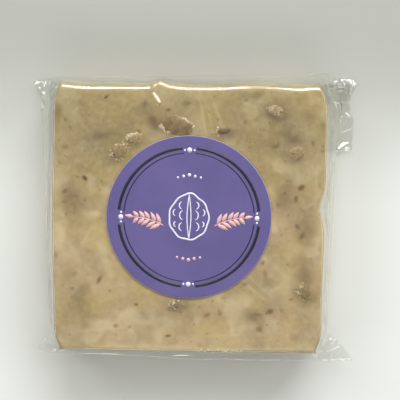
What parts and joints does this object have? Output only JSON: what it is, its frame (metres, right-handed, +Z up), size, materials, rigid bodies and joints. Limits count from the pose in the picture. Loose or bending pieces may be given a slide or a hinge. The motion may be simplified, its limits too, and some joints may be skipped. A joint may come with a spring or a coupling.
{
  "type": "walnut fudge slab in a clear bag",
  "caption": "Square slab of pale walnut fudge in a clear flat film bag with ears at its corners and a round violet sticker on its face, lying on its back.",
  "frame": {"origin": "under the middle of the bag's whole outline, on the surface that the pack lies on", "axes": "+Z up, out of the face with the sticker; +Y up the sticker's print, towards the folded end of the bag; +X to the right of the sticker"},
  "size_m": [0.1302, 0.1154, 0.0199],
  "materials": {
    "fudge": "dense matte fudge seen through clear film",
    "walnut": "chopped walnut, pale kernel and brown skin",
    "film": "clear glossy flat-bag film",
    "sticker": "satin violet paper label"
  },
  "bodies": {
    "root": {"fudge_bag": "fudge", "sticker": "sticker"}
  },
  "joints": []
}
